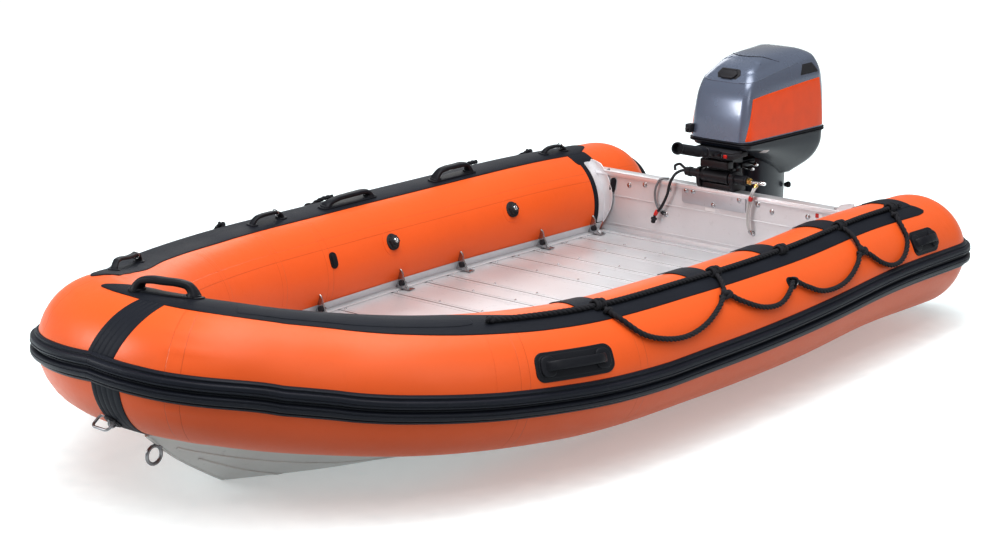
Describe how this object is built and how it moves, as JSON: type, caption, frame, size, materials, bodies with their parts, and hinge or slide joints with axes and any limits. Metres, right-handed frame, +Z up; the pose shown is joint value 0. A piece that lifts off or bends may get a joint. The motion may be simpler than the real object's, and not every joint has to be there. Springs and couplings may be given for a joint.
{
  "type": "rigid inflatable rescue boat with tiller outboard",
  "caption": "Rescue boat with an orange inflatable collar, alloy V hull and deck, grab lines and handles, and a tilting, steering tiller outboard on its transom.",
  "frame": {"origin": "on the centreline at the waterline, close to amidships", "axes": "+Z up; the bow points to -Y and the stern to +Y; port is +X"},
  "size_m": [2.3262, 4.2411, 1.564],
  "materials": {
    "orange_fabric": "coated woven fabric, satin",
    "black_rubber": "matt moulded rubber and reinforcing fabric",
    "alloy": "mill finish alloy plate",
    "steel": "stainless steel",
    "rope": "black laid rope",
    "black_paint": "satin black paint",
    "slate_paint": "metallic slate paint with clear coat",
    "orange_panel": "orange panel",
    "black_plastic": "black moulded plastic",
    "engine_metal": "plain block for the engine"
  },
  "bodies": {
    "root": {"collar_bow": "orange_fabric", "collar_port": "orange_fabric", "collar_starboard": "orange_fabric", "end_cap_port": "black_rubber", "end_cap_starboard": "black_rubber", "strake_port": "black_rubber", "strake_starboard": "black_rubber", "band_port": "black_rubber", "band_starboard": "black_rubber", "bow_patch": "black_rubber", "bow_stripe_low": "black_rubber", "side_handle_port_fore": "black_rubber", "side_handle_port_aft": "black_rubber", "side_handle_starboard_fore": "black_rubber", "side_handle_starboard_aft": "black_rubber", "bow_handle": "black_rubber", "grab_handle": "black_rubber", "low_handle": "black_rubber", "hull": "alloy", "deck_fore": "alloy", "deck_middle": "alloy", "deck_inner": "alloy", "deck_aft": "alloy", "deck_rail_port": "alloy", "deck_rail_starboard": "alloy", "transom": "alloy", "transom_cap": "alloy", "transom_pad": "alloy", "knee_port": "alloy", "knee_starboard": "alloy", "bow_eye": "steel", "bow_ring": "steel", "grab_line_port": "rope", "lifeline_port": "rope", "lifeline_starboard": "rope", "clamp_bracket_port": "black_paint", "clamp_bracket_starboard": "black_paint", "tilt_tube": "black_paint", "valve_port_fore": "black_plastic", "valve_port_aft": "black_plastic", "valve_starboard_fore": "black_plastic", "valve_starboard_aft": "black_plastic", "lead_grey": "black_plastic", "lead_black": "black_plastic", "lead_twin": "black_plastic"},
    "swivel": {"swivel_bracket": "black_paint"},
    "motor": {"leg": "slate_paint", "gearcase": "slate_paint", "lower_cowl": "slate_paint", "cowl": "slate_paint", "cowl_panel_port": "orange_panel", "cowl_panel_starboard": "orange_panel", "cowl_seal": "black_plastic", "cowl_latch": "black_plastic", "powerhead": "engine_metal", "tiller_arm": "black_paint", "tiller_grip": "black_plastic"},
    "screw": {"propeller": "black_paint"}
  },
  "joints": [
    {"name": "tilt", "type": "hinge", "parent": "root", "child": "swivel", "pos_m": [0, 1.585, 0.567], "axis": [1, 0, 0], "range_deg": [0, 60]},
    {"name": "steering", "type": "hinge", "parent": "swivel", "child": "motor", "pos_m": [0, 1.725, 0.36], "axis": [0, 0, 1], "range_deg": [-35, 35]},
    {"name": "propeller_spin", "type": "hinge", "parent": "motor", "child": "screw", "pos_m": [0, 2.14, -0.295], "axis": [0, 1, 0], "continuous": true}
  ]
}
